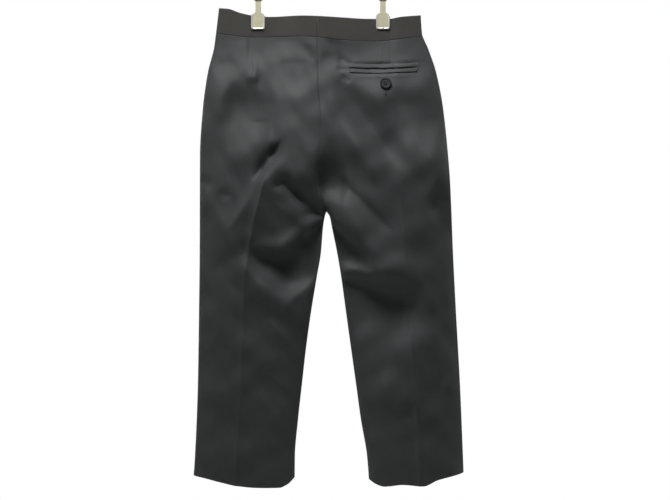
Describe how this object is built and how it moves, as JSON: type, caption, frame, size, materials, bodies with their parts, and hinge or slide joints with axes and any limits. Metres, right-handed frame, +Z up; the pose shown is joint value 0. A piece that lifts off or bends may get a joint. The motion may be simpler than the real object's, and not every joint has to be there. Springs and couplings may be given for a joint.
{
  "type": "dress trousers on a clip hanger",
  "caption": "Child's pressed dress trousers with a welted, buttoned back pocket, pinched at the waistband by the clips of a wire hanger.",
  "frame": {"origin": "under the top of the hanger's hook, where it rests on a rail", "axes": "+Z up, -Y faces out from the seat of the trousers, +X towards the wearer's right leg"},
  "size_m": [0.3536, 0.0649, 0.7298],
  "materials": {
    "cloth": "charcoal twill, pressed",
    "band_cloth": "matte charcoal",
    "button": "satin",
    "zip_tape": "woven tape",
    "hanger_metal": "plated wire",
    "clip_metal": "pale plated strip"
  },
  "bodies": {
    "root": {"back_left": "cloth", "back_right": "cloth", "front_left": "cloth", "front_right": "cloth", "waistband_left": "band_cloth", "waistband_right": "band_cloth", "pocket_welt_upper": "cloth", "pocket_welt_lower": "cloth", "pocket_button": "button", "waist_button": "button", "fly_zip": "zip_tape", "hanger_wire": "hanger_metal", "clip_left": "clip_metal", "clip_right": "clip_metal", "clip_ring_left": "hanger_metal", "clip_ring_right": "hanger_metal"}
  },
  "joints": []
}
